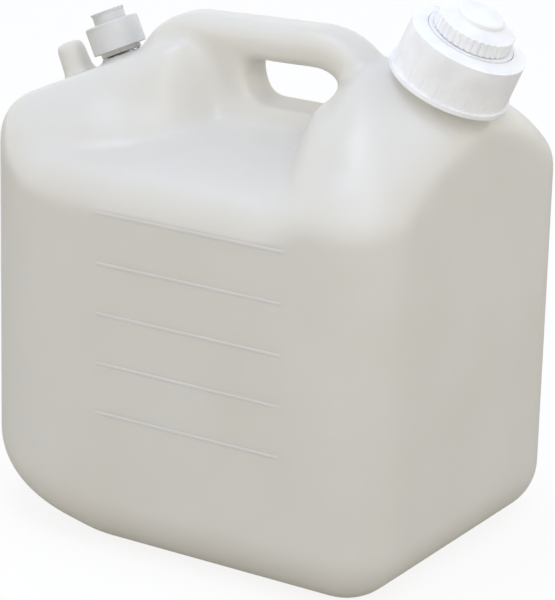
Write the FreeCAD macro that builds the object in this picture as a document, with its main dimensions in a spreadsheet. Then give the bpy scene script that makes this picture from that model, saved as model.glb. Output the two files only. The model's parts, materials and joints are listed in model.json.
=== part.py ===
import FreeCAD, Part
import math
import os
import Sketcher
from FreeCAD import Placement, Rotation, Vector

doc = FreeCAD.newDocument("Jerrycan")
sheet = doc.addObject("Spreadsheet::Sheet", "Sizes")
near = 0.1  # how close an edge lies to where it is looked for

# Driving sizes in millimetres and degrees, X forward, Z up, origin in the middle of the base
sizes = {
    # Shell in plan and from the side
    "bodyLength": 245.0,
    "bodyWidth": 186.0,
    "frontCorner": 28.0,
    "rearCorner": 73.0,
    "wallThick": 2.0,
    "baseFillet": 27.0,
    "shoulderFillet": 22.0,
    "riseStart": 30.0,
    "riseAngle": 12.6,
    "riseBlend": 70.0,
    # Roof: ledge beside the handle, rear block, front dome
    "ledgeHeight": 201.5,
    "ledgeHalf": 17.0,
    "ledgeSlope": 11.2,
    "ledgeBlend": 4.0,
    "rearEaveX": 108.0,
    "rearEaveHeight": 204.5,
    "rearSlope": 25.2,
    "ridgeRearHalf": 50.0,
    "ridgeFrontHalf": 18.0,
    "ridgeFrontX": 40.0,
    "flankFrontHalf": 80.0,
    "blockTop": 239.0,
    "blockTopBlend": 8.0,
    "blockFootX": 17.0,
    "blockFaceAngle": 73.0,
    "blockFaceFade": 0.78,
    "blockFaceReach": 32.0,
    "blockFootSweep": 0.008,
    "blockBlend": 14.0,
    "domeTop": 240.5,
    "domeTopBlend": 12.0,
    "domeCrown": 0.0049,
    "domeFootX": 39.0,
    "domeFootSweep": 0.0035,
    "domeReach": 34.0,
    "domeReachGrow": 1.1,
    "domeRound": 2.3,
    "valleyBlend": 8.0,
    "roofGrid": 4.0,
    # Handle bar
    "handleWide": 28.0,
    "handleDeep": 19.0,
    "handleEdge": 8.5,
    "handleRearFootX": 67.0,
    "handleRearFootZ": 208.0,
    "handleRearBendX": 45.5,
    "handleRearBendZ": 238.4,
    "handleFrontBendX": 47.0,
    "handleFrontBendZ": 241.9,
    "handleFrontFootX": 70.0,
    "handleFrontFootZ": 218.0,
    "handleRearRadius": 26.0,
    "handleFrontRadius": 30.0,
    # Web below and behind the hand hole
    "webWide": 31.6,
    "webTop": 211.2,
    "webEdge": 3.5,
    "webCorner": 6.0,
    "webFootZ": 190.0,
    "webRearX": 50.0,
    "webFrontX": 60.0,
    "holeRearLow": -1.2,
    "holeRearHigh": 5.2,
    "holeTop": 232.0,
    # Peg on the rear slope
    "pegX": 106.4,
    "pegRootRadius": 7.85,
    "pegTopRadius": 6.95,
    "pegHeight": 17.6,
    "pegRound": 3.0,
    # Graduation ridges on one broad side
    "markRearX": 30.0,
    "markFrontX": 73.0,
    "markFirst": 71.3,
    "markStep": 24.7,
    "markCount": 5,
    "markThick": 1.3,
    "markProud": 0.5,
    # Pouring neck
    "neckX": 100.6,
    "neckZ": 230.2,
    "neckTilt": 24.5,
    "neckRoot": 23.9,
    "neckWall": 2.9,
    "neckHeight": 22.4,
    "neckSink": 14.0,
    "neckPitch": 5.0,
    "neckTurns": 1.5,
    "neckRidge": 1.3,
    "neckRidgeWide": 2.2,
    "neckRidgeFirst": 12.0,
    # Vent neck
    "ventX": 80.1,
    "ventRoot": 10.1,
    "ventWall": 2.2,
    "ventHeight": 15.1,
    "ventSink": 7.0,
    "ventPitch": 3.0,
    "ventTurns": 1.5,
    "ventRidge": 0.8,
    "ventRidgeWide": 1.2,
    "ventRidgeFirst": 8.3,
    # Fits shared by all the screw closures
    "threadPlay": 0.35,
    "ridgeBite": 0.4,
    "ridgeTaper": 0.35,
    "facePlay": 0.05,
    "slipPlay": 0.3,
    # Screw collar on the pouring neck
    "collarGap": 4.0,
    "collarRadius": 28.5,
    "collarTopRadius": 28.2,
    "collarLip": 1.2,
    "collarLipHigh": 2.2,
    "collarDeck": 3.6,
    "collarEdgeDrop": 1.8,
    "collarMouth": 21.4,
    "collarFlutes": 24,
    "collarFluteRadius": 3.0,
    "collarFluteOut": 2.78,
    # Pour spout and its gasket
    "gasketThick": 1.8,
    "gasketWide": 2.2,
    "flangeThick": 2.0,
    "spoutWall": 1.8,
    "plateauRise": 3.9,
    "nozzleRoot": 14.4,
    "nozzleWall": 2.6,
    "nozzleHigh": 6.0,
    "nozzlePitch": 2.4,
    "nozzleTurns": 1.0,
    "nozzleRidge": 1.1,
    "nozzleRidgeWide": 1.1,
    "nozzleRidgeUp": 2.6,
    # Spout cap and its seal
    "sealThick": 1.4,
    "sealMargin": 0.1,
    "capLift": 0.4,
    "capRadius": 18.8,
    "capSkirtHigh": 6.6,
    "capConeHigh": 3.0,
    "buttonRadius": 11.4,
    "buttonHigh": 2.6,
    "buttonBevel": 0.8,
    "capGrooves": 36,
    "capGrooveRadius": 0.9,
    "capGrooveOut": 0.35,
    # Vent cap and its gasket
    "ventGap": 5.5,
    "ventCapRadius": 13.4,
    "ventGasketThick": 1.7,
    "ventGasketMargin": 0.1,
    "ventDeck": 2.45,
    "ventBevel": 0.6,
    "ventKnobRadius": 8.0,
    "ventKnobHigh": 5.8,
    "ventKnobFlare": 0.6,
    "ventKnobLip": 1.6,
    "ventKnobGrooves": 20,
    "ventKnobGrooveRadius": 0.7,
    "ventKnobGrooveOut": 0.3,
}

# Sizes that follow from the driving ones, so that every fit moves with its mate
followers = {
    "gasketTop": "neckHeight + gasketThick",
    "flangeTop": "gasketTop + flangeThick",
    "plateauTop": "flangeTop + plateauRise",
    "nozzleTop": "plateauTop + nozzleHigh",
    "plateauRadius": "collarMouth - slipPlay",
    "plateauInner": "plateauRadius - spoutWall",
    "plateauCeil": "plateauTop - spoutWall",
    "nozzleBore": "nozzleRoot - nozzleWall",
    "gasketOuter": "neckRoot - slipPlay",
    "gasketInner": "gasketOuter - gasketWide",
    "collarCeil": "flangeTop + facePlay",
    "collarTop": "collarCeil + collarDeck",
    "collarEdge": "collarTop - collarEdgeDrop",
    "collarLipTop": "collarGap + collarLipHigh",
    "collarLipRadius": "collarRadius + collarLip",
    "collarMajor": "neckRoot + neckRidge + threadPlay",
    "collarMinor": "neckRoot + threadPlay",
    "collarRidgeFirst": "neckRidgeFirst - neckPitch / 2",
    "collarRidgeSpan": "neckPitch * neckTurns",
    "sealTop": "nozzleTop + sealThick",
    "sealRadius": "nozzleRoot - sealMargin",
    "capCeil": "sealTop + facePlay",
    "capBottom": "plateauTop + capLift",
    "capEdge": "capBottom + capSkirtHigh",
    "buttonFoot": "capEdge + capConeHigh",
    "buttonEdge": "buttonFoot + buttonHigh - buttonBevel",
    "buttonTop": "buttonFoot + buttonHigh",
    "buttonFace": "buttonRadius - buttonBevel",
    "capMajor": "nozzleRoot + nozzleRidge + threadPlay",
    "capMinor": "nozzleRoot + threadPlay",
    "nozzleRidgeFirst": "plateauTop + nozzleRidgeUp",
    "capRidgeFirst": "nozzleRidgeFirst - nozzlePitch / 2",
    "nozzleRidgeSpan": "nozzlePitch * nozzleTurns",
    "ventGasketTop": "ventHeight + ventGasketThick",
    "ventGasketRadius": "ventRoot - ventGasketMargin",
    "ventCeil": "ventGasketTop + facePlay",
    "ventShoulder": "ventCeil + ventDeck",
    "ventEdge": "ventShoulder - ventBevel",
    "ventShoulderRadius": "ventCapRadius - ventBevel",
    "ventKnobWaist": "ventShoulder + ventKnobHigh - ventKnobLip",
    "ventKnobTop": "ventShoulder + ventKnobHigh",
    "ventKnobTopRadius": "ventKnobRadius + ventKnobFlare",
    "ventMajor": "ventRoot + ventRidge + threadPlay",
    "ventMinor": "ventRoot + threadPlay",
    "ventCapRidgeFirst": "ventRidgeFirst - ventPitch / 2",
    "ventRidgeSpan": "ventPitch * ventTurns",
}


def ridgeFollowers(prefix, first, wide, foot, tip):
    """Corner sizes of one screw ridge, as sheet formulas."""
    return {
        prefix + "RidgeFoot": foot,
        prefix + "RidgeTip": tip,
        prefix + "RidgeFootLow": first + " - " + wide + " / 2",
        prefix + "RidgeFootHigh": first + " + " + wide + " / 2",
        prefix + "RidgeTipLow": first + " - " + wide + " / 2 + ridgeTaper",
        prefix + "RidgeTipHigh": first + " + " + wide + " / 2 - ridgeTaper",
    }


followers.update(ridgeFollowers("collar", "collarRidgeFirst", "neckRidgeWide",
                                "collarMajor + ridgeBite", "collarMinor"))
followers.update(ridgeFollowers("cap", "capRidgeFirst", "nozzleRidgeWide", "capMajor + ridgeBite", "capMinor"))
followers.update(ridgeFollowers("nozzle", "nozzleRidgeFirst", "nozzleRidgeWide",
                                "nozzleRoot - ridgeBite", "nozzleRoot + nozzleRidge"))
followers.update(ridgeFollowers("vent", "ventCapRidgeFirst", "ventRidgeWide", "ventMajor + ridgeBite", "ventMinor"))


def fillSheet():
    row = 1
    for name, value in sizes.items():
        sheet.set("A%d" % row, str(value))
        sheet.setAlias("A%d" % row, name)
        row += 1
    for name, formula in followers.items():
        sheet.set("A%d" % row, "=" + formula)
        sheet.setAlias("A%d" % row, name)
        row += 1
    doc.recompute()


def size(name):
    return float(sheet.get(name))


# Blending helpers for the roof
def softMin(a, b, reach):
    overlap = max(reach - abs(a - b), 0.0) / reach
    return min(a, b) - overlap * overlap * reach / 4.0


def softRise(rise, reach):
    """The rise where it is above nought, with a rounded foot."""
    return max(rise, 0.0) * ease(0.0, 1.0, rise / reach)


def slopeOf(name):
    return math.tan(math.radians(size(name)))


def ease(start, end, share):
    share = max(0.0, min(1.0, share))
    return start + (end - start) * share * share * (3.0 - 2.0 * share)


class Roof:
    """Height of the blow-moulded roof over the plan, without handle, necks and peg."""

    def __init__(self):
        self.halfWidth = size("bodyWidth") / 2.0
        self.rearEnd = -size("bodyLength") / 2.0
        self.ledgeTop = size("ledgeHeight")
        self.ledgeHalf = size("ledgeHalf")
        self.ledgeFall = slopeOf("ledgeSlope")
        self.ledgeBlend = size("ledgeBlend")
        self.eaveX = -size("rearEaveX")
        self.eaveZ = size("rearEaveHeight")
        self.rearRise = slopeOf("rearSlope")
        self.ridgeRear = size("ridgeRearHalf")
        self.ridgeFront = size("ridgeFrontHalf")
        self.ridgeFrontX = -size("ridgeFrontX")
        self.flankFront = size("flankFrontHalf")
        self.blockTop = size("blockTop")
        self.blockTopBlend = size("blockTopBlend")
        self.blockFoot = -size("blockFootX")
        self.blockFace = slopeOf("blockFaceAngle")
        self.blockFade = size("blockFaceFade")
        self.blockReach = size("blockFaceReach")
        self.blockSweep = size("blockFootSweep")
        self.blockBlend = size("blockBlend")
        self.webHalf = size("webWide") / 2.0
        self.neckX = size("neckX")
        self.neckZ = size("neckZ")
        self.frontFall = slopeOf("neckTilt")
        self.domeTop = size("domeTop")
        self.domeTopBlend = size("domeTopBlend")
        self.crown = size("domeCrown")
        self.domeFoot = size("domeFootX")
        self.domeSweep = size("domeFootSweep")
        self.domeReach = size("domeReach")
        self.domeGrow = size("domeReachGrow")
        self.domeRound = size("domeRound")
        self.valleyBlend = size("valleyBlend")

    def ledge(self, y):
        fall = self.ledgeTop - self.ledgeFall * (y - self.ledgeHalf)
        return softMin(self.ledgeTop, fall, self.ledgeBlend)

    def block(self, x, y):
        """Rise of the rear block over the ledge."""
        slope = self.eaveZ + self.rearRise * (x - self.eaveX)
        ridge = softMin(slope, self.blockTop, self.blockTopBlend)
        half = ease(self.ridgeRear, self.ridgeFront, (x - self.rearEnd) / (self.ridgeFrontX - self.rearEnd))
        foot = ease(self.halfWidth, self.flankFront, (x - self.rearEnd) / (self.blockFoot - self.rearEnd))
        side = ease(ridge - self.ledge(y), 0.0, (y - half) / (foot - half))
        out = max(y - self.webHalf, 0.0)
        steep = self.blockFace * (1.0 - ease(0.0, self.blockFade, out / self.blockReach))
        face = steep * (self.blockFoot - self.blockSweep * out * out - x)
        return softMin(side, face, self.blockBlend)

    def dome(self, x, y):
        """Rise of the front dome over the ledge."""
        slope = self.neckZ - self.frontFall * (x - self.neckX)
        top = softMin(slope, self.domeTop, self.domeTopBlend) - self.crown * y * y
        foot = self.domeFoot + self.domeSweep * y * y
        reach = self.domeReach * (1.0 + self.domeGrow * min(y / self.halfWidth, 1.0) ** 2)
        short = 1.0 - max(0.0, min(1.0, (x - foot) / reach))
        return (top - self.ledge(y)) * (1.0 - short ** self.domeRound)

    def height(self, x, y):
        y = abs(y)
        rises = softRise(self.block(x, y), self.valleyBlend) + softRise(self.dome(x, y), self.valleyBlend)
        return self.ledge(y) + rises

    def insetHeight(self, x, y, inset):
        step = size("wallThick") / 4.0
        alongX = (self.height(x + step, y) - self.height(x - step, y)) / (2.0 * step)
        alongY = (self.height(x, y + step) - self.height(x, y - step)) / (2.0 * step)
        return self.height(x, y) - inset * math.sqrt(1.0 + alongX ** 2 + alongY ** 2)


def knots(count):
    return [4] + [1] * (count - 4) + [4], [float(i) for i in range(count - 2)]


def underRoof(inset):
    roof = Roof()
    step = size("roofGrid")
    countX = 2 * int(math.ceil(size("bodyLength") / 2.0 / step)) + 9
    countY = 2 * int(math.ceil(size("bodyWidth") / 2.0 / step)) + 9
    poles = []
    for i in range(countX):
        x = (i - (countX - 1) / 2.0) * step
        row = []
        for j in range(countY):
            y = (j - (countY - 1) / 2.0) * step
            row.append(Vector(x, y, roof.insetHeight(x, y, inset)))
        poles.append(row)
    multsX, knotsX = knots(countX)
    multsY, knotsY = knots(countY)
    surface = Part.BSplineSurface()
    surface.buildFromPolesMultsKnots(poles, multsX, multsY, knotsX, knotsY, False, False, 3, 3)
    return surface.toShape().extrude(Vector(0, 0, -2.0 * size("neckZ")))


def cornerArc(centreX, centreY, radius, start):
    points = []
    for turn in (0.0, 45.0, 90.0):
        angle = math.radians(start + turn)
        points.append(Vector(centreX + radius * math.cos(angle), centreY + radius * math.sin(angle), 0))
    return points


def planFace(inset):
    halfX = size("bodyLength") / 2.0 - inset
    halfY = size("bodyWidth") / 2.0 - inset
    front = size("frontCorner") - inset
    rear = size("rearCorner") - inset
    corners = [
        cornerArc(halfX - front, front - halfY, front, -90.0),
        cornerArc(halfX - front, halfY - front, front, 0.0),
        cornerArc(rear - halfX, halfY - rear, rear, 90.0),
        cornerArc(rear - halfX, rear - halfY, rear, 180.0),
    ]
    edges = []
    for i, points in enumerate(corners):
        edges.append(Part.Arc(*points).toShape())
        edges.append(Part.makeLine(points[2], corners[(i + 1) % 4][0]))
    return Part.Face(Part.Wire(edges))


def sideFace(inset):
    """Side view of the underside: flat, then an arc into the rear rise."""
    far = size("bodyLength")
    side = -size("bodyWidth")
    top = 2.0 * size("neckZ")
    angle = math.radians(size("riseAngle"))
    radius = size("riseBlend") - inset
    startX = -size("riseStart")
    start = Vector(startX, side, inset)
    middle = Vector(startX - radius * math.sin(angle / 2), side, inset + radius * (1 - math.cos(angle / 2)))
    end = Vector(startX - radius * math.sin(angle), side, inset + radius * (1 - math.cos(angle)))
    rear = Vector(-far, side, end.z + (end.x + far) * math.tan(angle))
    corners = [Vector(-far, side, top), Vector(far, side, top), Vector(far, side, inset)]
    edges = [Part.Arc(start, middle, end).toShape(), Part.makeLine(end, rear)]
    edges.append(Part.makeLine(rear, corners[0]))
    edges.append(Part.makeLine(corners[0], corners[1]))
    edges.append(Part.makeLine(corners[1], corners[2]))
    edges.append(Part.makeLine(corners[2], start))
    return Part.Face(Part.Wire(edges))


def midNormal(face):
    low, high, left, right = face.ParameterRange
    return face.normalAt((low + high) / 2.0, (left + right) / 2.0)


def rimOf(faces):
    """Edges that belong to just one of the faces."""
    rim = {}
    for face in faces:
        for edge in face.Edges:
            rim.setdefault(edge.hashCode(), []).append(edge)
    return [found[0] for found in rim.values() if len(found) == 1]


def tub(inset):
    walls = planFace(inset).extrude(Vector(0, 0, 2.0 * size("neckZ")))
    below = sideFace(inset).extrude(Vector(0, 2.0 * size("bodyWidth"), 0))
    block = walls.common(below)
    bottoms = [face for face in block.Faces if midNormal(face).z < -0.5]
    return block.makeFillet(size("baseFillet") - inset, rimOf(bottoms))


def shoulderedTub(inset):
    block = tub(inset).common(underRoof(inset))
    tops = [face for face in block.Faces if midNormal(face).z > 0.5]
    return block.makeFillet(size("shoulderFillet") - inset, rimOf(tops))


# Handle bar: a rounded section swept along a bent line in the middle plane
def handlePath():
    points = [
        Vector(-size("handleRearFootX"), 0, size("handleRearFootZ")),
        Vector(-size("handleRearBendX"), 0, size("handleRearBendZ")),
        Vector(size("handleFrontBendX"), 0, size("handleFrontBendZ")),
        Vector(size("handleFrontFootX"), 0, size("handleFrontFootZ")),
    ]
    radii = [size("handleRearRadius"), size("handleFrontRadius")]
    edges = []
    start = points[0]
    for corner, before, after, radius in zip(points[1:3], points[:2], points[2:], radii):
        back = (before - corner).normalize()
        ahead = (after - corner).normalize()
        half = back.getAngle(ahead) / 2.0
        reach = radius / math.tan(half)
        centre = corner + (back + ahead).normalize() * (radius / math.sin(half))
        middle = centre + (corner - centre).normalize() * radius
        first = corner + back * reach
        last = corner + ahead * reach
        edges.append(Part.makeLine(start, first))
        edges.append(Part.Arc(first, middle, last).toShape())
        start = last
    edges.append(Part.makeLine(start, points[3]))
    return Part.Wire(edges)


def handleBar(inset):
    path = handlePath()
    start = path.Edges[0].Vertexes[0].Point
    along = path.Edges[0].tangentAt(path.Edges[0].FirstParameter)
    wide = size("handleWide") - 2.0 * inset
    deep = size("handleDeep") - 2.0 * inset
    section = Part.makeBox(deep, wide, 1.0, Vector(-deep / 2.0, -wide / 2.0, 0))
    section = section.makeFillet(size("handleEdge") - inset, [e for e in section.Edges if upright(e)])
    outline = [face for face in section.Faces if midNormal(face).z < -0.5][0].OuterWire
    outline.Placement = Placement(start, Rotation(Vector(0, 0, 1), along))
    return path.makePipeShell([outline], True, False)


def upright(edge):
    along = edge.tangentAt(edge.FirstParameter)
    return abs(along.z) > 0.99


# Web that fills the middle below and behind the hand hole
def web(inset):
    half = size("webWide") / 2.0 - inset
    floor = size("webTop") - inset
    low = Vector(-size("holeRearLow") - inset, -half, floor)
    high = Vector(-size("holeRearHigh") - inset, -half, size("holeTop"))
    up = (high - low).normalize()
    ahead = Vector(1, 0, 0)
    radius = size("webCorner") + inset
    turn = up.getAngle(ahead) / 2.0
    reach = radius / math.tan(turn)
    centre = low + (up + ahead).normalize() * (radius / math.sin(turn))
    middle = centre + (low - centre).normalize() * radius
    rear = Vector(-size("webRearX"), -half, size("holeTop"))
    rearFoot = Vector(-size("webRearX"), -half, size("webFootZ"))
    frontFoot = Vector(size("webFrontX"), -half, size("webFootZ"))
    front = Vector(size("webFrontX"), -half, floor)
    edges = [
        Part.makeLine(rear, high),
        Part.makeLine(high, low + up * reach),
        Part.Arc(low + up * reach, middle, low + ahead * reach).toShape(),
        Part.makeLine(low + ahead * reach, front),
        Part.makeLine(front, frontFoot),
        Part.makeLine(frontFoot, rearFoot),
        Part.makeLine(rearFoot, rear),
    ]
    plate = Part.Face(Part.Wire(edges)).extrude(Vector(0, 2.0 * half, 0))
    rims = [e for e in plate.Edges if roundHole(e, low.x - radius)]
    return plate.makeFillet(size("webEdge") - min(inset, size("webEdge") / 2.0), rims)


def roundHole(edge, rearLimit):
    """True for the side edges of the web that run round the hand hole."""
    box = edge.BoundBox
    onSide = box.YLength < near
    aboveFoot = box.ZMin > size("webFootZ") + near
    return onSide and aboveFoot and box.XMin > rearLimit


# Placements of what stands on the roof
def neckFrame():
    return Placement(Vector(size("neckX"), 0, size("neckZ")), Rotation(Vector(0, 1, 0), size("neckTilt")))


def rearSlopeFrame(distance):
    rise = math.tan(math.radians(size("rearSlope"))) * (size("rearEaveX") - distance)
    spot = Vector(-distance, 0, size("rearEaveHeight") + rise)
    return Placement(spot, Rotation(Vector(0, 1, 0), -size("rearSlope")))


def ventFrame():
    return rearSlopeFrame(size("ventX"))


def post(frame, radius, low, high):
    rod = Part.makeCylinder(radius, high - low, Vector(0, 0, low))
    rod.Placement = frame
    return rod


def peg(inset):
    root = size("pegRootRadius") - inset
    top = size("pegTopRadius") - inset
    high = size("pegHeight") - inset
    taper = (root - top) / high
    sink = size("pegHeight") / 2.0
    cone = Part.makeCone(root + taper * sink, top, high + sink, Vector(0, 0, -sink))
    rim = [edge for edge in cone.Edges if edge.BoundBox.ZMin > high - near]
    cone = cone.makeFillet(size("pegRound") - min(inset, size("pegRound") / 2.0), rim)
    cone.Placement = rearSlopeFrame(size("pegX"))
    return cone


def outerForm():
    neck = post(neckFrame(), size("neckRoot"), -size("neckSink"), size("neckHeight"))
    vent = post(ventFrame(), size("ventRoot"), -size("ventSink"), size("ventHeight"))
    return shoulderedTub(0.0).fuse([handleBar(0.0), web(0.0), neck, vent, peg(0.0)])


def innerForm():
    wall = size("wallThick")
    over = wall
    neckBore = size("neckRoot") - size("neckWall")
    ventBore = size("ventRoot") - size("ventWall")
    neck = post(neckFrame(), neckBore, -size("neckSink"), size("neckHeight") + over)
    vent = post(ventFrame(), ventBore, -size("ventSink"), size("ventHeight") + over)
    return shoulderedTub(wall).fuse([handleBar(wall), web(wall), neck, vent, peg(wall)])


def outsideRidge(radius, proud, wide, first, pitch, turns):
    """One screw ridge standing on a round neck."""
    bite = size("ridgeBite")
    taper = size("ridgeTaper")
    corners = [
        Vector(radius - bite, 0, first - wide / 2.0),
        Vector(radius + proud, 0, first - wide / 2.0 + taper),
        Vector(radius + proud, 0, first + wide / 2.0 - taper),
        Vector(radius - bite, 0, first + wide / 2.0),
    ]
    helix = Part.makeHelix(pitch, pitch * turns, radius)
    helix.translate(Vector(0, 0, first))
    return helix.makePipeShell([Part.makePolygon(corners + corners[:1])], True, True)


def neckRidge():
    ridge = outsideRidge(size("neckRoot"), size("neckRidge"), size("neckRidgeWide"),
                         size("neckRidgeFirst"), size("neckPitch"), size("neckTurns"))
    ridge.Placement = neckFrame()
    return ridge


def ventRidge():
    ridge = outsideRidge(size("ventRoot"), size("ventRidge"), size("ventRidgeWide"),
                         size("ventRidgeFirst"), size("ventPitch"), size("ventTurns"))
    ridge.Placement = ventFrame()
    return ridge


def marks():
    wall = -size("bodyWidth") / 2.0
    proud = size("markProud")
    thick = size("markThick")
    length = size("markFrontX") + size("markRearX")
    bars = []
    for i in range(int(size("markCount"))):
        low = size("markFirst") + i * size("markStep") - thick / 2.0
        bars.append(Part.makeBox(length, 2.0 * proud, thick, Vector(-size("markRearX"), wall - proud, low)))
    return bars


def makeCan():
    shell = outerForm().cut(innerForm())
    shell = shell.fuse([neckRidge(), ventRidge()] + marks())
    can = doc.addObject("Part::Feature", "can_body")
    can.Label = "can_body"
    can.Shape = shell.Solids[0] if len(shell.Solids) == 1 else shell
    can.Placement = Placement()
    return can


# Turned pieces: each is a body with a revolved section bound to the sheet
def newBody(name):
    body = doc.addObject("PartDesign::Body", name)
    body.Label = name
    return body


def originPlane(body, role):
    return [part for part in body.Origin.OriginFeatures if part.Role == role][0]


def outlineSketch(body, name, corners):
    """Closed outline on the XZ plane, each corner held by two sheet sizes."""
    sketch = body.newObject("Sketcher::SketchObject", name)
    sketch.AttachmentSupport = [(originPlane(body, "XZ_Plane"), "")]
    sketch.MapMode = "FlatFace"
    spots = [Vector(0 if r == "axis" else size(r), size(h), 0) for r, h in corners]
    count = len(spots)
    for i in range(count):
        sketch.addGeometry(Part.LineSegment(spots[i], spots[(i + 1) % count]), False)
    for i in range(count):
        sketch.addConstraint(Sketcher.Constraint("Coincident", i, 2, (i + 1) % count, 1))
    for i, (radius, height) in enumerate(corners):
        if radius == "axis":
            sketch.addConstraint(Sketcher.Constraint("PointOnObject", i, 1, -2))
        else:
            index = sketch.addConstraint(Sketcher.Constraint("DistanceX", -1, 1, i, 1, spots[i].x))
            sketch.setExpression("Constraints[%d]" % index, "Sizes." + radius)
        index = sketch.addConstraint(Sketcher.Constraint("DistanceY", -1, 1, i, 1, spots[i].y))
        sketch.setExpression("Constraints[%d]" % index, "Sizes." + height)
    doc.recompute()
    return sketch


def turned(body, corners):
    sketch = outlineSketch(body, body.Name + "_section", corners)
    lathe = body.newObject("PartDesign::Revolution", body.Name + "_turned")
    lathe.Profile = sketch
    lathe.ReferenceAxis = (sketch, ["V_Axis"])
    lathe.Angle = 360.0
    sketch.Visibility = False
    doc.recompute()
    return lathe


def screwRidge(body, prefix, pitch, span):
    corners = [
        (prefix + "RidgeFoot", prefix + "RidgeFootLow"),
        (prefix + "RidgeFoot", prefix + "RidgeFootHigh"),
        (prefix + "RidgeTip", prefix + "RidgeTipHigh"),
        (prefix + "RidgeTip", prefix + "RidgeTipLow"),
    ]
    sketch = outlineSketch(body, body.Name + "_ridge_section", corners)
    ridge = body.newObject("PartDesign::AdditiveHelix", body.Name + "_ridge")
    ridge.Profile = sketch
    ridge.ReferenceAxis = (sketch, ["V_Axis"])
    ridge.Mode = 0
    ridge.setExpression("Pitch", "Sizes." + pitch)
    ridge.setExpression("Height", "Sizes." + span)
    ridge.Angle = 0.0
    ridge.Growth = 0.0
    ridge.LeftHanded = False
    doc.recompute()
    return ridge


def grooves(body, radius, out, groove, low, count):
    """Upright grip grooves cut round the rim, from the given height upwards."""
    sketch = body.newObject("Sketcher::SketchObject", body.Name + "_groove_section")
    sketch.AttachmentSupport = [(originPlane(body, "XY_Plane"), "")]
    sketch.MapMode = "FlatFace"
    sketch.setExpression("AttachmentOffset.Base.z", "Sizes." + low)
    centre = Vector(size(radius) + size(out), 0, 0)
    sketch.addGeometry(Part.Circle(centre, Vector(0, 0, 1), size(groove)), False)
    sketch.addConstraint(Sketcher.Constraint("PointOnObject", 0, 3, -1))
    index = sketch.addConstraint(Sketcher.Constraint("DistanceX", -1, 1, 0, 3, centre.x))
    sketch.setExpression("Constraints[%d]" % index, "Sizes." + radius + " + Sizes." + out)
    index = sketch.addConstraint(Sketcher.Constraint("Radius", 0, size(groove)))
    sketch.setExpression("Constraints[%d]" % index, "Sizes." + groove)
    doc.recompute()
    pocket = body.newObject("PartDesign::Pocket", body.Name + "_groove")
    pocket.Profile = sketch
    pocket.Type = 1
    pocket.Reversed = True
    doc.recompute()
    ring = body.newObject("PartDesign::PolarPattern", body.Name + "_grooves")
    ring.Originals = [pocket]
    ring.Axis = (sketch, ["N_Axis"])
    ring.Angle = 360.0
    body.Tip = ring
    ring.setExpression("Occurrences", "Sizes." + count)
    doc.recompute()
    return ring


def onNeck(body):
    body.Placement = neckFrame()


def onVent(body):
    body.Placement = ventFrame()


def makeCollar():
    body = newBody("cap_collar")
    turned(body, [
        ("collarLipRadius", "collarGap"),
        ("collarLipRadius", "collarLipTop"),
        ("collarRadius", "collarLipTop"),
        ("collarTopRadius", "collarEdge"),
        ("collarMouth", "collarTop"),
        ("collarMouth", "collarCeil"),
        ("collarMajor", "collarCeil"),
        ("collarMajor", "collarGap"),
    ])
    screwRidge(body, "collar", "neckPitch", "collarRidgeSpan")
    grooves(body, "collarRadius", "collarFluteOut", "collarFluteRadius", "collarLipTop", "collarFlutes")
    onNeck(body)
    return body


def makeSpout():
    body = newBody("pour_spout")
    turned(body, [
        ("neckRoot", "gasketTop"),
        ("neckRoot", "flangeTop"),
        ("plateauRadius", "flangeTop"),
        ("plateauRadius", "plateauTop"),
        ("nozzleRoot", "plateauTop"),
        ("nozzleRoot", "nozzleTop"),
        ("nozzleBore", "nozzleTop"),
        ("nozzleBore", "plateauCeil"),
        ("plateauInner", "plateauCeil"),
        ("plateauInner", "gasketTop"),
    ])
    screwRidge(body, "nozzle", "nozzlePitch", "nozzleRidgeSpan")
    onNeck(body)
    return body


def makeNeckGasket():
    body = newBody("neck_gasket")
    turned(body, [
        ("gasketOuter", "neckHeight"),
        ("gasketOuter", "gasketTop"),
        ("gasketInner", "gasketTop"),
        ("gasketInner", "neckHeight"),
    ])
    onNeck(body)
    return body


def makeSpoutCap():
    body = newBody("spout_cap")
    turned(body, [
        ("capRadius", "capBottom"),
        ("capRadius", "capEdge"),
        ("buttonRadius", "buttonFoot"),
        ("buttonRadius", "buttonEdge"),
        ("buttonFace", "buttonTop"),
        ("axis", "buttonTop"),
        ("axis", "capCeil"),
        ("capMajor", "capCeil"),
        ("capMajor", "capBottom"),
    ])
    screwRidge(body, "cap", "nozzlePitch", "nozzleRidgeSpan")
    grooves(body, "capRadius", "capGrooveOut", "capGrooveRadius", "capBottom", "capGrooves")
    onNeck(body)
    return body


def makeSpoutSeal():
    body = newBody("spout_seal")
    turned(body, [
        ("axis", "nozzleTop"),
        ("sealRadius", "nozzleTop"),
        ("sealRadius", "sealTop"),
        ("axis", "sealTop"),
    ])
    onNeck(body)
    return body


def makeVentCap():
    body = newBody("vent_cap")
    turned(body, [
        ("ventCapRadius", "ventGap"),
        ("ventCapRadius", "ventEdge"),
        ("ventShoulderRadius", "ventShoulder"),
        ("ventKnobRadius", "ventShoulder"),
        ("ventKnobRadius", "ventKnobWaist"),
        ("ventKnobTopRadius", "ventKnobTop"),
        ("axis", "ventKnobTop"),
        ("axis", "ventCeil"),
        ("ventMajor", "ventCeil"),
        ("ventMajor", "ventGap"),
    ])
    screwRidge(body, "vent", "ventPitch", "ventRidgeSpan")
    grooves(body, "ventKnobTopRadius", "ventKnobGrooveOut", "ventKnobGrooveRadius",
            "ventShoulder", "ventKnobGrooves")
    onVent(body)
    return body


def makeVentGasket():
    body = newBody("vent_gasket")
    turned(body, [
        ("axis", "ventHeight"),
        ("ventGasketRadius", "ventHeight"),
        ("ventGasketRadius", "ventGasketTop"),
        ("axis", "ventGasketTop"),
    ])
    onVent(body)
    return body


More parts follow.
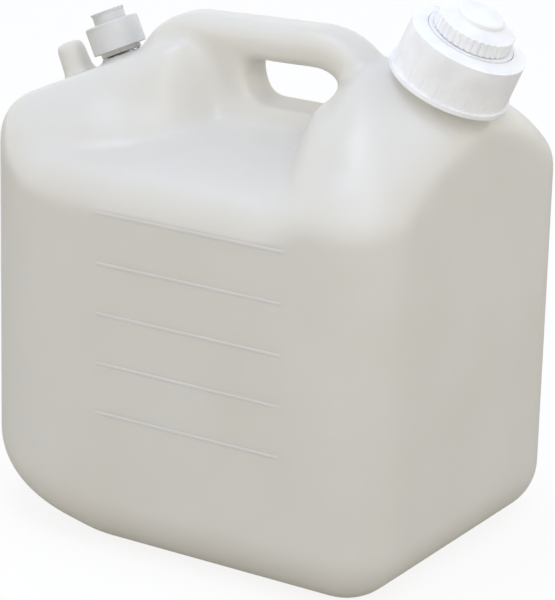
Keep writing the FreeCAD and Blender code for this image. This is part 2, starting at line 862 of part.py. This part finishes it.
fillSheet()
pieces = [
    makeCan(),
    makeCollar(),
    makeSpout(),
    makeNeckGasket(),
    makeSpoutCap(),
    makeSpoutSeal(),
    makeVentCap(),
    makeVentGasket(),
]
doc.recompute()

for item in doc.Objects:
    if "Invalid" in item.State or "Error" in item.State:
        raise RuntimeError("not built: " + item.Name)

os.makedirs("parts", exist_ok=True)
for piece in pieces:
    shape = piece.Shape
    if shape.isNull() or not shape.isValid() or len(shape.Solids) != 1:
        raise RuntimeError("not one valid solid: " + piece.Label)
    shape.exportStep("parts/" + piece.Label + ".step")
    print(piece.Label, round(shape.Volume / 1000.0, 2), "cm3", len(shape.Faces), "faces")
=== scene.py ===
import json
import math

import bmesh
import bpy
import numpy as np
from mathutils import Matrix, Vector


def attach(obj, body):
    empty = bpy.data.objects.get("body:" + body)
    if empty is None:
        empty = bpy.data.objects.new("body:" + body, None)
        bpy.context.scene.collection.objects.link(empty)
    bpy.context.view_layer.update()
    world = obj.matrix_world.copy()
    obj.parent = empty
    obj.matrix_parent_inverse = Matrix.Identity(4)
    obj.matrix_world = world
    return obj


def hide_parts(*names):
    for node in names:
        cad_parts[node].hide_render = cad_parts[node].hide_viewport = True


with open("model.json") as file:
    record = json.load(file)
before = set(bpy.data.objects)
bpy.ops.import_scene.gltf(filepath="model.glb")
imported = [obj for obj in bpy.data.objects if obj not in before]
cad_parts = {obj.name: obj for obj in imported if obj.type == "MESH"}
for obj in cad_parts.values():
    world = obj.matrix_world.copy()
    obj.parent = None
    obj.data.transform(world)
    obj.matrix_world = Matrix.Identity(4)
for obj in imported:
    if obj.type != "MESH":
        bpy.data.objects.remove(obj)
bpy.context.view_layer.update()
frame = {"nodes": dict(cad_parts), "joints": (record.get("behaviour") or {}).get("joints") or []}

nodes = frame["nodes"]
mm = 0.001
print("frame loaded:", len(nodes), "nodes")


# sRGB hex to the linear colour that shaders take
def hexColour(code):
    channels = [int(code[i:i + 2], 16) / 255 for i in (1, 3, 5)]
    linear = [c / 12.92 if c <= 0.04045 else ((c + 0.055) / 1.055) ** 2.4 for c in channels]
    return (*linear, 1.0)


# adds one node, with its sockets in a dict, where a (node, output) pair is a link
def addNode(tree, kind, sockets=None):
    made = tree.nodes.new(kind)
    for name, value in (sockets or {}).items():
        if isinstance(value, tuple) and isinstance(value[0], bpy.types.Node):
            tree.links.new(value[0].outputs[value[1]], made.inputs[name])
        else:
            made.inputs[name].default_value = value
    return made


def newMaterial(name):
    made = bpy.data.materials.new(name)
    made.use_nodes = True
    made.node_tree.nodes.clear()
    return made, made.node_tree


# sets a ramp's first and last stop
def rampStops(ramp, places, codes):
    for stop, place, code in zip(ramp.color_ramp.elements, places, codes):
        stop.position = place
        stop.color = hexColour(code)


# waves per metre for a pattern whose features are this many millimetres wide
def perMetre(size):
    return 1.0 / (size * mm)


naturalHdpe = {
    "wall": ("#E4E1DA", "#E7E5DF"),    # where the wall is thicker it goes milkier and warmer
    "ridge": ("#F4F2EE", "#F8F7F4"),   # a moulded line painted paler: partly painted light that lifts the shade on its downward half, partly the milkier thick plastic
    "through": "#F8F2E2",              # light that comes through the wall from behind, a little warm
    "clear": 0.12,                     # share of the light that passes through the can's wall
    "solid": 0.0,                      # and through a solid rib or a thick screw finish
    "scatter": 0.45,                   # share that wanders under the surface
    "glow": (1.0, 0.92, 0.80),         # it runs furthest in red, so deep places turn warm
    "reach": 5.0,                      # mm that it wanders
    "index": 1.54,                     # refractive index
    "cloud": 55.0,                     # mm, slow change of wall thickness
    "cloudDetail": 3.0,
    "cloudRoughness": 0.45,
    "cloudEnds": (0.35, 0.68),
    "scuff": 9.0,                      # mm, patches rubbed duller
    "scuffDetail": 5.0,
    "scuffRoughness": 0.6,
    "scuffEnds": (0.3, 0.7),
    "roughness": (0.30, 0.38),
    "peel": 1.6,                       # mm, orange peel from the sand-blasted mould, coarse enough to show
    "peelDepth": 0.15,                 # mm
    "peelStrength": 0.08,
}


# blow-moulded natural HDPE: milky, waxy, lets light through, satin with a fine orange peel
def makeNaturalHdpe(name, clear, tones):
    made, tree = newMaterial(name)
    spec = naturalHdpe
    place = addNode(tree, "ShaderNodeTexCoord")
    cloud = addNode(tree, "ShaderNodeTexNoise",
                    {"Vector": (place, "Object"), "Scale": perMetre(spec["cloud"]),
                     "Detail": spec["cloudDetail"], "Roughness": spec["cloudRoughness"]})
    tone = addNode(tree, "ShaderNodeValToRGB", {"Fac": (cloud, "Fac")})
    rampStops(tone, spec["cloudEnds"], tones)
    scuff = addNode(tree, "ShaderNodeTexNoise",
                    {"Vector": (place, "Object"), "Scale": perMetre(spec["scuff"]),
                     "Detail": spec["scuffDetail"], "Roughness": spec["scuffRoughness"]})
    gloss = addNode(tree, "ShaderNodeMapRange",
                    {"Value": (scuff, "Fac"),
                     "From Min": spec["scuffEnds"][0], "From Max": spec["scuffEnds"][1],
                     "To Min": spec["roughness"][0], "To Max": spec["roughness"][1]})
    peel = addNode(tree, "ShaderNodeTexNoise",
                   {"Vector": (place, "Object"), "Scale": perMetre(spec["peel"])})
    grain = addNode(tree, "ShaderNodeBump",
                    {"Height": (peel, "Fac"), "Strength": spec["peelStrength"],
                     "Distance": spec["peelDepth"] * mm})
    shader = addNode(tree, "ShaderNodeBsdfPrincipled",
                     {"Base Color": (tone, "Color"), "Roughness": (gloss, "Result"),
                      "Normal": (grain, "Normal"), "IOR": spec["index"],
                      "Subsurface Weight": spec["scatter"], "Subsurface Radius": spec["glow"],
                      "Subsurface Scale": spec["reach"] * mm})
    behind = addNode(tree, "ShaderNodeBsdfTranslucent", {"Color": hexColour(spec["through"])})
    wall = addNode(tree, "ShaderNodeMixShader", {0: clear, 1: (shader, "BSDF"), 2: (behind, "BSDF")})
    addNode(tree, "ShaderNodeOutputMaterial", {"Surface": (wall, "Shader")})
    return made


mouldedPp = {
    "white": ("#E9EAED", "#F1F2F4"),   # handled places dull a little
    "pale": ("#CBCCCB", "#D3D4D3"),    # greyer than the large closure
    "scatter": 0.25,
    "glow": (1.0, 0.95, 0.9),
    "reach": 2.0,                      # mm
    "index": 1.49,
    "cloud": 14.0,                     # mm, slow change of tone
    "cloudDetail": 4.0,
    "cloudEnds": (0.35, 0.6),
    "glossEnds": (0.3, 0.7),
    "roughness": (0.42, 0.30),         # worn places are rougher
    "grain": 0.9,                      # mm, fine moulding texture
    "grainDepth": 0.1,                 # mm
    "grainStrength": 0.1,
}


# injection-moulded polypropylene: opaque, cool, satin, smoother than the can
def makeMouldedPp(name, tones):
    made, tree = newMaterial(name)
    spec = mouldedPp
    place = addNode(tree, "ShaderNodeTexCoord")
    cloud = addNode(tree, "ShaderNodeTexNoise",
                    {"Vector": (place, "Object"), "Scale": perMetre(spec["cloud"]),
                     "Detail": spec["cloudDetail"]})
    tone = addNode(tree, "ShaderNodeValToRGB", {"Fac": (cloud, "Fac")})
    rampStops(tone, spec["cloudEnds"], tones)
    gloss = addNode(tree, "ShaderNodeMapRange",
                    {"Value": (cloud, "Fac"),
                     "From Min": spec["glossEnds"][0], "From Max": spec["glossEnds"][1],
                     "To Min": spec["roughness"][0], "To Max": spec["roughness"][1]})
    fine = addNode(tree, "ShaderNodeTexNoise",
                   {"Vector": (place, "Object"), "Scale": perMetre(spec["grain"])})
    grain = addNode(tree, "ShaderNodeBump",
                    {"Height": (fine, "Fac"), "Strength": spec["grainStrength"],
                     "Distance": spec["grainDepth"] * mm})
    shader = addNode(tree, "ShaderNodeBsdfPrincipled",
                     {"Base Color": (tone, "Color"), "Roughness": (gloss, "Result"),
                      "Normal": (grain, "Normal"), "IOR": spec["index"],
                      "Subsurface Weight": spec["scatter"], "Subsurface Radius": spec["glow"],
                      "Subsurface Scale": spec["reach"] * mm})
    addNode(tree, "ShaderNodeOutputMaterial", {"Surface": (shader, "BSDF")})
    return made


epdmRubber = {
    "tones": ("#4B4B4D", "#5C5B5A"),   # dark, and the pale bloom that rubber sweats out
    "bloom": 3.0,                      # mm
    "bloomDetail": 5.0,
    "bloomEnds": (0.4, 0.7),
    "glossEnds": (0.3, 0.7),
    "roughness": (0.62, 0.8),
    "grainDepth": 0.1,                 # mm
    "grainStrength": 0.2,
}


# die-cut EPDM rubber sheet: dark grey, matt, with a dusty bloom
def makeEpdmRubber():
    made, tree = newMaterial("epdmRubberDieCut")
    spec = epdmRubber
    place = addNode(tree, "ShaderNodeTexCoord")
    bloom = addNode(tree, "ShaderNodeTexNoise",
                    {"Vector": (place, "Object"), "Scale": perMetre(spec["bloom"]),
                     "Detail": spec["bloomDetail"]})
    tone = addNode(tree, "ShaderNodeValToRGB", {"Fac": (bloom, "Fac")})
    rampStops(tone, spec["bloomEnds"], spec["tones"])
    gloss = addNode(tree, "ShaderNodeMapRange",
                    {"Value": (bloom, "Fac"),
                     "From Min": spec["glossEnds"][0], "From Max": spec["glossEnds"][1],
                     "To Min": spec["roughness"][0], "To Max": spec["roughness"][1]})
    grain = addNode(tree, "ShaderNodeBump",
                    {"Height": (bloom, "Fac"), "Strength": spec["grainStrength"],
                     "Distance": spec["grainDepth"] * mm})
    shader = addNode(tree, "ShaderNodeBsdfPrincipled",
                     {"Base Color": (tone, "Color"), "Roughness": (gloss, "Result"),
                      "Normal": (grain, "Normal")})
    addNode(tree, "ShaderNodeOutputMaterial", {"Surface": (shader, "BSDF")})
    return made


def dress(piece, material):
    piece.data.materials.clear()
    piece.data.materials.append(material)


hdpe = makeNaturalHdpe("naturalHdpeBlowMoulded", naturalHdpe["clear"], naturalHdpe["wall"])
hdpeThick = makeNaturalHdpe("naturalHdpeThick", naturalHdpe["solid"], naturalHdpe["wall"])
# the graduation lines' paler tone is partly painted light, lifting the shade on their lower halves
hdpeRidgePaintedLight = makeNaturalHdpe("naturalHdpeRidgePaintedLight", naturalHdpe["solid"], naturalHdpe["ridge"])
whitePp = makeMouldedPp("whitePolypropyleneMoulded", mouldedPp["white"])
palePp = makeMouldedPp("palePolypropyleneMoulded", mouldedPp["pale"])
rubber = makeEpdmRubber()
finishes = {"can_body": hdpe, "cap_collar": whitePp, "pour_spout": whitePp, "spout_cap": whitePp,
            "vent_cap": palePp, "neck_gasket": rubber, "spout_seal": rubber, "vent_gasket": rubber}
for name, finish in finishes.items():
    dress(nodes[name], finish)
print("materials made:", len(bpy.data.materials))


canSkin = {
    "weld": 0.001,             # mm, points nearer than this become one
    "voxel": 1.5,              # mm
    "settle": 5,               # passes that take the grid out of the surface
    "ease": 0.5,               # share of the way that one pass goes
    "fade": 8.0,               # mm over which a box's hold fades out
    "wall": 2.0,               # mm
    "side": 93.0,              # mm, flat broad side, where the graduation lines are added afterwards
    "lidBand": 2.0,            # mm below the skin's end where a lid can lie
    "lidFacing": 0.8,          # how squarely a lid's faces look up the post
}
# the two threaded posts: the smooth skin ends a little way up, and the threaded finish starts just below
posts = {
    "collar_turn": {"reach": 27.0, "skinEnd": 3.4, "finishStart": 2.2},     # mm up the pouring neck
    "vent_cap_turn": {"reach": 12.0, "skinEnd": 4.4, "finishStart": 3.2},   # mm up the vent neck
}


def jointOf(name):
    return next(item for item in frame["joints"] if item["name"] == name)


# height up a screw post and distance from its axis, for an array of points
def postCoords(points, jointName):
    spec = jointOf(jointName)
    axis = np.array(spec["axis"])
    away = np.asarray(points) - np.array(spec["pos_m"])
    up = away @ axis
    out = np.linalg.norm(away - up[:, None] * axis, axis=1)
    return up, out


def weldedCan():
    shape = bmesh.new()
    shape.from_mesh(nodes["can_body"].data)
    bmesh.ops.remove_doubles(shape, verts=shape.verts, dist=canSkin["weld"] * mm)
    return shape


# cuts a post across at that height and returns the faces above the cut
def cutPost(shape, jointName, height):
    spec = jointOf(jointName)
    reach = posts[jointName]["reach"] * mm
    shape.verts.index_update()
    up, out = postCoords([v.co for v in shape.verts], jointName)
    within = (out < reach) & (up > -reach)
    near = [f for f in shape.faces if all(within[v.index] for v in f.verts)]
    parts = set(near)
    for face in near:
        parts.update(face.edges)
        parts.update(face.verts)
    axis = Vector(spec["axis"])
    spot = Vector(spec["pos_m"]) + axis * height * mm
    bmesh.ops.bisect_plane(shape, geom=list(parts), plane_co=spot, plane_no=axis)
    faces = list(shape.faces)
    up, out = postCoords([f.calc_center_median() for f in faces], jointName)
    return [f for f, u, o in zip(faces, up, out) if o < reach and u > height * mm]


def connectedTo(start):
    found = {start}
    todo = [start]
    while todo:
        vert = todo.pop()
        for edge in vert.link_edges:
            other = edge.other_vert(vert)
            if other not in found:
                found.add(other)
                todo.append(other)
    return found


def meshFrom(shape, name):
    made = bpy.data.meshes.new(name)
    shape.to_mesh(made)
    shape.free()
    return made


def newPiece(name, mesh):
    piece = bpy.data.objects.new(name, mesh)
    bpy.context.scene.collection.objects.link(piece)
    return piece


# outside of the can without its threaded finishes, closed so that it can be remeshed
def outsideOfCan():
    shape = weldedCan()
    for jointName, spec in posts.items():
        bmesh.ops.delete(shape, geom=cutPost(shape, jointName, spec["skinEnd"]), context="FACES")
    lowest = min(shape.verts, key=lambda v: v.co.z)
    outside = connectedTo(lowest)
    bmesh.ops.delete(shape, geom=[v for v in shape.verts if v not in outside], context="VERTS")
    rim = [e for e in shape.edges if e.is_boundary]
    bmesh.ops.holes_fill(shape, edges=rim)
    bmesh.ops.recalc_face_normals(shape, faces=shape.faces)
    return meshFrom(shape, "canOutside")


# threaded end of one post, cut from the solid model and closed at its foot
def postFinish(jointName, name):
    shape = weldedCan()
    keep = set(cutPost(shape, jointName, posts[jointName]["finishStart"]))
    bmesh.ops.delete(shape, geom=[f for f in shape.faces if f not in keep], context="FACES")
    foot = [e for e in shape.edges if e.is_boundary]
    bmesh.ops.bridge_loops(shape, edges=foot)
    bmesh.ops.recalc_face_normals(shape, faces=shape.faces)
    return newPiece(name, meshFrom(shape, name))


def remeshed(mesh, voxel):
    piece = newPiece("remeshTemp", mesh)
    grid = piece.modifiers.new("grid", "REMESH")
    grid.mode = "VOXEL"
    grid.voxel_size = voxel
    grid.adaptivity = 0.0
    made = bpy.data.meshes.new_from_object(piece.evaluated_get(bpy.context.evaluated_depsgraph_get()))
    bpy.data.objects.remove(piece)
    return made


def coordsOf(mesh):
    flat = np.empty(len(mesh.vertices) * 3)
    mesh.vertices.foreach_get("co", flat)
    return flat.reshape(-1, 3)


def edgesOf(mesh):
    flat = np.empty(len(mesh.edges) * 2, dtype=np.int64)
    mesh.edges.foreach_get("vertices", flat)
    return flat.reshape(-1, 2)


# corners of each face, where a triangle has its last corner twice
def quadsOf(mesh):
    corners = [tuple(face.vertices) for face in mesh.polygons]
    return np.array([four if len(four) == 4 else (*four, four[-1]) for four in corners])


# from each point to the mean of its neighbours
def pullOf(points, edges):
    total = np.zeros_like(points)
    for axis in range(3):
        total[:, axis] += np.bincount(edges[:, 0], points[edges[:, 1], axis], len(points))
        total[:, axis] += np.bincount(edges[:, 1], points[edges[:, 0], axis], len(points))
    counts = np.maximum(np.bincount(edges.ravel(), minlength=len(points)), 1)
    return total / counts[:, None] - points


def normalsOf(points, quads):
    across = np.cross(points[quads[:, 2]] - points[quads[:, 0]], points[quads[:, 3]] - points[quads[:, 1]])
    total = np.zeros_like(points)
    for corner in range(4):
        for axis in range(3):
            total[:, axis] += np.bincount(quads[:, corner], across[:, axis], len(points))
    return total / np.maximum(np.linalg.norm(total, axis=1), np.finfo(float).eps)[:, None]


# 1 inside the box, fading to 0 outside it
def boxHold(points, box):
    low, high = np.array(box) * mm
    outside = np.linalg.norm(np.maximum(np.maximum(low - points, points - high), 0), axis=1)
    return np.clip(1 - outside / (canSkin["fade"] * mm), 0, 1)


# 0 up to the first limit, rising to 1 at the second
def fadeIn(values, limits):
    return np.clip((values - limits[0]) / (limits[1] - limits[0]), 0, 1)


web = {
    "box": ((-40, -24, 207), (42, 24, 227)),   # mm
    "sink": 6.0,                               # mm from each side
}


# the web under the bar is drawn in from both sides, so that the bar overhangs it
def sinkWeb(points, normals):
    hold = boxHold(points, web["box"])
    points[:, 1] -= web["sink"] * mm * hold * normals[:, 1] * np.abs(normals[:, 1])


nose = {
    "foot": 39.0,              # mm along the can to the dome's foot, and how it sweeps back per mm squared
    "sweep": 0.0035,
    "reach": 34.0,             # mm in which the dome rises, and how that grows towards the side
    "grow": 1.1,
    "round": 2.3,
    "tight": 0.6,              # share of that reach that the nose rises in
    "rise": 41.0,              # mm, and its fall per mm squared
    "crown": 0.0033,
    "from": (14.0, 22.0),      # mm from the middle where the swelling starts and is whole
    "until": (38.0, 72.0),     # mm from the middle where it fades and has gone
    "under": (209.0, 223.0),   # mm up where it fades and has gone
}


# the dome's rear face swells into a rounded nose beside the handle's front root
def raiseNose(points, normals):
    along, across, up = (points / mm).T
    side = np.abs(across)
    past = along - nose["foot"] - nose["sweep"] * side ** 2
    reach = nose["reach"] * (1 + nose["grow"] * (side / canSkin["side"]) ** 2)
    gentle = np.clip(1 - past / reach, 0, 1) ** nose["round"]
    tight = np.clip(1 - past / (nose["tight"] * reach), 0, 1) ** nose["round"]
    hold = fadeIn(side, nose["from"]) * (1 - fadeIn(side, nose["until"])) * (1 - fadeIn(up, nose["under"]))
    lift = (nose["rise"] - nose["crown"] * side ** 2) * (gentle - tight) * hold
    points[:, 2] += np.where(normals[:, 2] > 0, lift, 0) * mm


# boxes in mm where creases are filled, and how many passes of filling each gets
creases = [
    {"box": ((-78, -20, 214), (-8, 20, 255)), "passes": 60},     # handle's rear root
    {"box": ((40, -20, 214), (84, 20, 255)), "passes": 60},      # handle's front root
    {"box": ((-110, -80, 190), (110, 80, 232)), "passes": 24},   # web, ledges, block and dome
]
# boxes in mm where edges are worn round as well
rounds = [
    {"box": ((-6, -22, 202), (48, 22, 216)), "passes": 24},      # rim of the web under the hand hole
    {"box": ((-48, -58, 206), (4, 58, 228)), "passes": 50},      # front edges of the rear block
]


def smooth(points, edges, hold, passes):
    for _ in range(passes):
        points += canSkin["ease"] * hold[:, None] * pullOf(points, edges)


# moves hollow places out along their normals and leaves the rest
def fillCrease(points, edges, quads, hold, passes):
    for _ in range(passes):
        normals = normalsOf(points, quads)
        lift = np.maximum((pullOf(points, edges) * normals).sum(axis=1), 0)
        points += (canSkin["ease"] * hold * lift)[:, None] * normals


# takes the voxel grid out of the surface, then gives the roof its soft blends
def settle(mesh):
    points = coordsOf(mesh)
    edges = edgesOf(mesh)
    quads = quadsOf(mesh)
    smooth(points, edges, np.ones(len(points)), canSkin["settle"])
    sinkWeb(points, normalsOf(points, quads))
    raiseNose(points, normalsOf(points, quads))
    for crease in creases:
        hold = boxHold(points, crease["box"])
        fillCrease(points, edges, quads, hold, crease["passes"])
        smooth(points, edges, hold, canSkin["settle"])
    for worn in rounds:
        smooth(points, edges, boxHold(points, worn["box"]), worn["passes"])
    points[:, 1] = np.maximum(points[:, 1], -canSkin["side"] * mm)
    mesh.vertices.foreach_set("co", points.ravel())
    mesh.update()


# takes the flat lids off again, inside the threaded posts
def openPosts(mesh):
    shape = bmesh.new()
    shape.from_mesh(mesh)
    for jointName, spec in posts.items():
        faces = list(shape.faces)
        up, out = postCoords([f.calc_center_median() for f in faces], jointName)
        high = (out < spec["reach"] * mm) & (up > (spec["skinEnd"] - canSkin["lidBand"]) * mm)
        axis = Vector(jointOf(jointName)["axis"])
        lid = [f for f, h in zip(faces, high) if h and f.normal.dot(axis) > canSkin["lidFacing"]]
        bmesh.ops.delete(shape, geom=lid, context="FACES")
    shape.to_mesh(mesh)
    shape.free()


# one thin skin for can, handle and peg, with the two threaded finishes set into it
def makeCanSkin():
    mesh = remeshed(outsideOfCan(), canSkin["voxel"] * mm)
    mesh.name = "canSkin"
    settle(mesh)
    openPosts(mesh)
    mesh.shade_smooth()
    skin = newPiece("canSkin", mesh)
    wall = skin.modifiers.new("wall", "SOLIDIFY")
    wall.thickness = canSkin["wall"] * mm
    wall.offset = -1.0  # all of it inward
    dress(skin, hdpe)
    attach(skin, "can")
    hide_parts("can_body")
    for jointName, name in (("collar_turn", "neckFinish"), ("vent_cap_turn", "ventFinish")):
        finish = postFinish(jointName, name)
        dress(finish, hdpeThick)
        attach(finish, "can")
    print("can skin made:", len(mesh.polygons), "faces")


makeCanSkin()


gradLines = {
    "rear": -30.0,             # mm along the can
    "front": 73.0,
    "first": 71.3,             # mm up to the lowest line
    "step": 24.7,
    "count": 5,
    "half": 0.8,               # mm, half the width of a line
    "proud": 0.12,             # mm it stands out
    "sink": 0.3,               # mm it reaches into the wall
    "facets": 6,
}


# a line's section, as pairs of distance out of the side and height
def lineSection():
    spec = gradLines
    section = [(spec["sink"], -spec["half"])]
    for k in range(spec["facets"] + 1):
        share = 2 * k / spec["facets"] - 1
        section.append((-spec["proud"] * (1 - share * share), spec["half"] * share))
    section.append((spec["sink"], spec["half"]))
    return section


# low rounded lines that the mould leaves on the broad side, one for each litre
def makeGradLines():
    spec = gradLines
    section = lineSection()
    size = len(section)
    points = []
    faces = []
    for i in range(spec["count"]):
        height = spec["first"] + i * spec["step"]
        start = len(points)
        for x in (spec["rear"], spec["front"]):
            points += [(x * mm, (-canSkin["side"] + y) * mm, (height + z) * mm) for y, z in section]
        for k in range(size):
            after = (k + 1) % size
            faces.append((start + k, start + after, start + size + after, start + size + k))
        faces.append(tuple(start + k for k in reversed(range(size))))
        faces.append(tuple(start + size + k for k in range(size)))
    mesh = bpy.data.meshes.new("gradLines")
    mesh.from_pydata(points, [], faces)
    lines = newPiece("gradLines", mesh)
    # pale tone partly painted light, lifting the shade on each line's downward half
    dress(lines, hdpeRidgePaintedLight)
    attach(lines, "can")
    print("graduation lines made:", spec["count"])


makeGradLines()


studio = {
    "floorHalf": 6.0,          # m
    "floorSeen": "#FFFFFF",    # to the camera, plain white paper
    "floorBounce": "#8F8C86",  # what it throws back on the can
    "floorGlow": 0.22,         # even light from below, as from a lit sheet
    "floorShade": 0.15,        # how much of the can's shadow shows on the paper
    "backdrop": "#FFFFFF",     # what the camera sees behind the can
    "level": 1.58,             # surround level with the can, and from above
    "zenith": 0.58,
    "walls": "#FCF7EC",        # warm level with the can, cool from above
    "sky": "#E9F0FF",
    "tintEnds": (0.1, 0.8),    # where on the way up the warm ends and the cool is whole
}


# pale paper floor that keeps the soft shadow
def makeFloor():
    sheet = bpy.data.meshes.new("studioFloor")
    half = studio["floorHalf"]
    corners = [(-half, -half, 0), (half, -half, 0), (half, half, 0), (-half, half, 0)]
    sheet.from_pydata(corners, [], [(0, 1, 2, 3)])
    floor = newPiece("studioFloor", sheet)
    made, tree = newMaterial("studioPaper")
    path = addNode(tree, "ShaderNodeLightPath")
    matt = addNode(tree, "ShaderNodeBsdfDiffuse", {"Color": hexColour(studio["floorBounce"])})
    glow = addNode(tree, "ShaderNodeEmission",
                   {"Color": hexColour(studio["walls"]), "Strength": studio["floorGlow"]})
    bounce = addNode(tree, "ShaderNodeAddShader", {0: (matt, "BSDF"), 1: (glow, "Emission")})
    paper = addNode(tree, "ShaderNodeBsdfDiffuse", {"Color": hexColour(studio["floorSeen"])})
    lift = addNode(tree, "ShaderNodeEmission", {"Color": hexColour(studio["floorSeen"])})
    lifted = addNode(tree, "ShaderNodeMixShader",
                     {0: studio["floorShade"], 1: (lift, "Emission"), 2: (paper, "BSDF")})
    seen = addNode(tree, "ShaderNodeMixShader",
                   {0: (path, "Is Camera Ray"), 1: (bounce, "Shader"), 2: (lifted, "Shader")})
    addNode(tree, "ShaderNodeOutputMaterial", {"Surface": (seen, "Shader")})
    dress(floor, made)


# soft surround, brightest level with the can, which the camera sees as plain white
def makeSurround():
    world = bpy.data.worlds.new("studioSurround")
    world.use_nodes = True
    tree = world.node_tree
    tree.nodes.clear()
    path = addNode(tree, "ShaderNodeLightPath")
    way = addNode(tree, "ShaderNodeTexCoord")
    split = addNode(tree, "ShaderNodeSeparateXYZ", {"Vector": (way, "Generated")})
    climb = addNode(tree, "ShaderNodeMapRange",
                    {"Value": (split, "Z"), "To Min": studio["level"], "To Max": studio["zenith"]})
    tint = addNode(tree, "ShaderNodeValToRGB", {"Fac": (split, "Z")})
    rampStops(tint, studio["tintEnds"], (studio["walls"], studio["sky"]))
    light = addNode(tree, "ShaderNodeBackground", {"Color": (tint, "Color"), "Strength": (climb, "Result")})
    white = addNode(tree, "ShaderNodeBackground", {"Color": hexColour(studio["backdrop"]), "Strength": 1.0})
    shown = addNode(tree, "ShaderNodeMixShader",
                    {0: (path, "Is Camera Ray"), 1: (light, "Background"), 2: (white, "Background")})
    addNode(tree, "ShaderNodeOutputWorld", {"Surface": (shown, "Shader")})
    bpy.context.scene.world = world


# places, aims and sizes in m, power in W: one overhead, one wide at the front, one small and near the dome
softboxes = [
    {"name": "keyBox", "place": (-0.25, -0.1, 1.8), "aim": (0.0, 0.0, 0.2), "size": 0.6, "power": 6.0,
     "colour": "#DCE8FF"},
    {"name": "fillBox", "place": (1.2, -1.1, 1.15), "aim": (0.05, 0.0, 0.15), "size": 0.8, "power": 2.0,
     "colour": "#FFF8EC"},
    {"name": "nearBox", "place": (0.28, -0.32, 0.75), "aim": (0.06, -0.03, 0.2), "size": 0.3, "power": 0.6,
     "colour": "#F2F6FF"},
]


def makeSoftboxes():
    for spec in softboxes:
        lamp = bpy.data.lights.new(spec["name"], "AREA")
        lamp.shape = "SQUARE"
        lamp.size = spec["size"]
        lamp.energy = spec["power"]
        lamp.color = hexColour(spec["colour"])[:3]
        box = bpy.data.objects.new(spec["name"], lamp)
        box.location = spec["place"]
        way = Vector(spec["aim"]) - Vector(spec["place"])
        box.rotation_euler = way.to_track_quat("-Z", "Y").to_euler()
        bpy.context.scene.collection.objects.link(box)


eye = {
    "place": (0.7586, -1.1947, 0.5769),   # m
    "azimuth": 31.983,                    # degrees
    "elevation": 18.311,
    "roll": 1.492,
    "sensor": 36.0,                       # mm along the picture's height
    "lens": 182.34,                       # mm
    "clip": (0.01, 50.0),                 # m
}


def makeCamera():
    lens = bpy.data.cameras.new("productCamera")
    lens.sensor_width = eye["sensor"]
    lens.lens = eye["lens"]
    lens.clip_start, lens.clip_end = eye["clip"]
    camera = bpy.data.objects.new("productCamera", lens)
    turn = (Matrix.Rotation(math.radians(eye["azimuth"]), 4, "Z")
            @ Matrix.Rotation(math.radians(90 - eye["elevation"]), 4, "X")
            @ Matrix.Rotation(math.radians(eye["roll"]), 4, "Z"))
    camera.matrix_world = Matrix.Translation(eye["place"]) @ turn
    bpy.context.scene.collection.objects.link(camera)
    bpy.context.scene.camera = camera


makeFloor()
makeSurround()
makeSoftboxes()
makeCamera()
bpy.context.scene.view_settings.view_transform = "Standard"
print("studio made")
